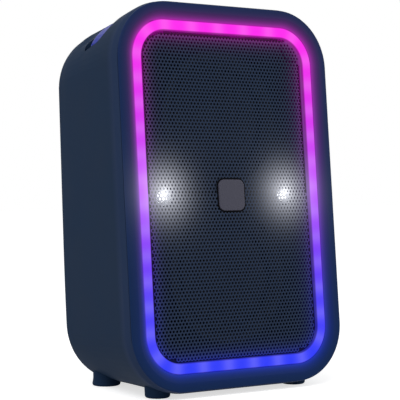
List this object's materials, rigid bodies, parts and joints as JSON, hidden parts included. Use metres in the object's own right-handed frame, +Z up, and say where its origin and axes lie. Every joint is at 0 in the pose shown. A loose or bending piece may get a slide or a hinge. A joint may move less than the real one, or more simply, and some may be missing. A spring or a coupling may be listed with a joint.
{
  "type": "party speaker",
  "caption": "Upright portable party speaker that leans back on rubber feet, with a perforated grille inside a lit ring, a sunk top handle, top buttons and a rear bass port.",
  "frame": {"origin": "on the floor, under the middle of the speaker's bounding box", "axes": "+Z up, the grille faces -Y and leans back, +X to the listener's right"},
  "size_m": [0.2618, 0.1894, 0.3964],
  "materials": {
    "cabinet_plastic": "fine satin texture, dark slate navy",
    "bezel_plastic": "smooth satin navy",
    "diffuser": "translucent, lit from behind",
    "grille_metal": "navy powder coat, perforated",
    "badge_plastic": "satin, bare",
    "black_plastic": "moulded black",
    "grip_blue": "bright blue, satin gloss",
    "rubber": "dark navy rubber",
    "button_rubber": "matt navy silicone",
    "steel": "zinc plated",
    "circuit_board": "solder mask",
    "led_white": "moulded LED package",
    "cone_paper": "coated paper",
    "spider_cloth": "resin-treated cloth",
    "coil_copper": "enamelled copper on a former",
    "magnet": "ferrite and zinc-plated steel",
    "reflector": "vacuum metallised",
    "lens_clear": "clear lens",
    "battery_wrap": "heat-shrink sleeve",
    "aluminium": "extruded, plain"
  },
  "bodies": {
    "cabinet": {"amplifier_board": "circuit_board", "amplifier_screws": "steel", "aux_jack": "steel", "badge": "badge_plastic", "baffle_screws": "steel", "battery_pack": "battery_wrap", "battery_tray": "black_plastic", "button_switches": "black_plastic", "cabinet_shell": "cabinet_plastic", "capacitors": "aluminium", "control_board": "circuit_board", "control_panel": "black_plastic", "foot_front_left": "rubber", "foot_front_right": "rubber", "foot_rear_left": "rubber", "foot_rear_right": "rubber", "foot_screws": "steel", "front_baffle": "black_plastic", "front_bezel": "bezel_plastic", "grille": "grille_metal", "grip_screws": "steel", "handle_grip": "grip_blue", "handle_well": "cabinet_plastic", "heat_sink": "aluminium", "leds": "led_white", "light_diffuser": "diffuser", "light_strip": "circuit_board", "port_tube": "black_plastic", "socket_bay": "cabinet_plastic", "socket_board": "circuit_board", "strobe_left_led": "led_white", "strobe_left_lens": "lens_clear", "strobe_left_reflector": "reflector", "strobe_right_led": "led_white", "strobe_right_lens": "lens_clear", "strobe_right_reflector": "reflector", "usb_socket": "steel", "woofer_lower_frame": "black_plastic", "woofer_lower_magnet": "magnet", "woofer_lower_spider": "spider_cloth", "woofer_lower_surround": "rubber", "woofer_screws": "steel", "woofer_upper_frame": "black_plastic", "woofer_upper_magnet": "magnet", "woofer_upper_spider": "spider_cloth", "woofer_upper_surround": "rubber"},
    "button_power": {"button_power": "button_rubber"},
    "button_pairing": {"button_pairing": "button_rubber"},
    "button_light": {"button_light": "button_rubber"},
    "button_volume_down": {"button_volume_down": "button_rubber"},
    "button_play": {"button_play": "button_rubber"},
    "button_volume_up": {"button_volume_up": "button_rubber"},
    "port_cover": {"port_cover": "rubber"},
    "woofer_upper_moving": {"woofer_upper_cone": "cone_paper", "woofer_upper_dust_cap": "cone_paper", "woofer_upper_voice_coil": "coil_copper"},
    "woofer_lower_moving": {"woofer_lower_cone": "cone_paper", "woofer_lower_dust_cap": "cone_paper", "woofer_lower_voice_coil": "coil_copper"}
  },
  "joints": [
    {"name": "press_power", "type": "slide", "parent": "cabinet", "child": "button_power", "axis": [0, -0.165, -0.9863], "range_m": [0, 0.0008], "stiffness_N_per_m": 600, "springref_m": -0.0003},
    {"name": "press_pairing", "type": "slide", "parent": "cabinet", "child": "button_pairing", "axis": [0, -0.165, -0.9863], "range_m": [0, 0.0008], "stiffness_N_per_m": 600, "springref_m": -0.0003},
    {"name": "press_light", "type": "slide", "parent": "cabinet", "child": "button_light", "axis": [0, -0.165, -0.9863], "range_m": [0, 0.0008], "stiffness_N_per_m": 600, "springref_m": -0.0003},
    {"name": "press_volume_down", "type": "slide", "parent": "cabinet", "child": "button_volume_down", "axis": [0, -0.165, -0.9863], "range_m": [0, 0.0008], "stiffness_N_per_m": 600, "springref_m": -0.0003},
    {"name": "press_play", "type": "slide", "parent": "cabinet", "child": "button_play", "axis": [0, -0.165, -0.9863], "range_m": [0, 0.0008], "stiffness_N_per_m": 600, "springref_m": -0.0003},
    {"name": "press_volume_up", "type": "slide", "parent": "cabinet", "child": "button_volume_up", "axis": [0, -0.165, -0.9863], "range_m": [0, 0.0008], "stiffness_N_per_m": 600, "springref_m": -0.0003},
    {"name": "port_cover_hinge", "type": "hinge", "parent": "cabinet", "child": "port_cover", "pos_m": [0, 0.06726, 0.07748], "axis": [-1, 0, 0], "range_deg": [0, 110]},
    {"name": "woofer_upper_excursion", "type": "slide", "parent": "cabinet", "child": "woofer_upper_moving", "axis": [0, -0.9959, 0.0906], "range_m": [-0.004, 0.004], "stiffness_N_per_m": 1200, "deforming": ["woofer_upper_surround", "woofer_upper_spider"]},
    {"name": "woofer_lower_excursion", "type": "slide", "parent": "cabinet", "child": "woofer_lower_moving", "axis": [0, -0.9959, 0.0906], "range_m": [-0.004, 0.004], "stiffness_N_per_m": 1200, "deforming": ["woofer_lower_surround", "woofer_lower_spider"]}
  ]
}
